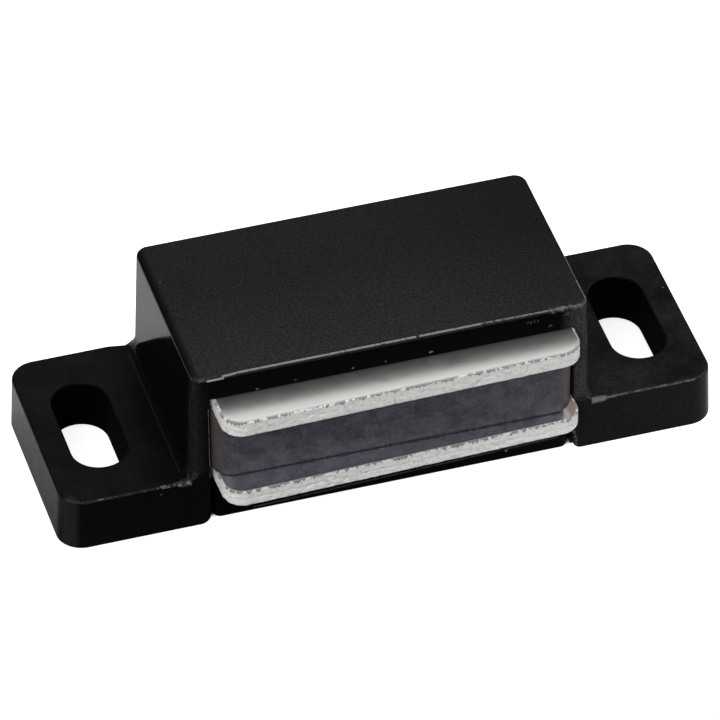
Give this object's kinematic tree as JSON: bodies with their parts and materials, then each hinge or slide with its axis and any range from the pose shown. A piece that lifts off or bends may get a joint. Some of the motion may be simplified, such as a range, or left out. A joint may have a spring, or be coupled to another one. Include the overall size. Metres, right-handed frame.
{
  "type": "magnetic catch",
  "caption": "Surface-mounted magnetic door catch: slotted black housing with a ferrite magnet clamped between steel pole plates that stand out at the front.",
  "frame": {"origin": "middle of the mounting face, on the plane that lies on the cabinet", "axes": "+X along the housing from one ear to the other, -Y out of the front where the pole plates stand, +Z away from the mounting face"},
  "size_m": [0.057, 0.022, 0.0155],
  "materials": {
    "housing_plastic": "satin black moulded ABS with fine grain",
    "cover_plastic": "satin black moulded plastic",
    "zinc_plated_steel": "bright zinc plate, sheared edges",
    "ferrite": "dull grey sintered ferrite"
  },
  "bodies": {
    "root": {"housing": "housing_plastic", "base_cover": "cover_plastic", "lower_pole_plate": "zinc_plated_steel", "ferrite_magnet": "ferrite", "upper_pole_plate": "zinc_plated_steel"}
  },
  "joints": []
}
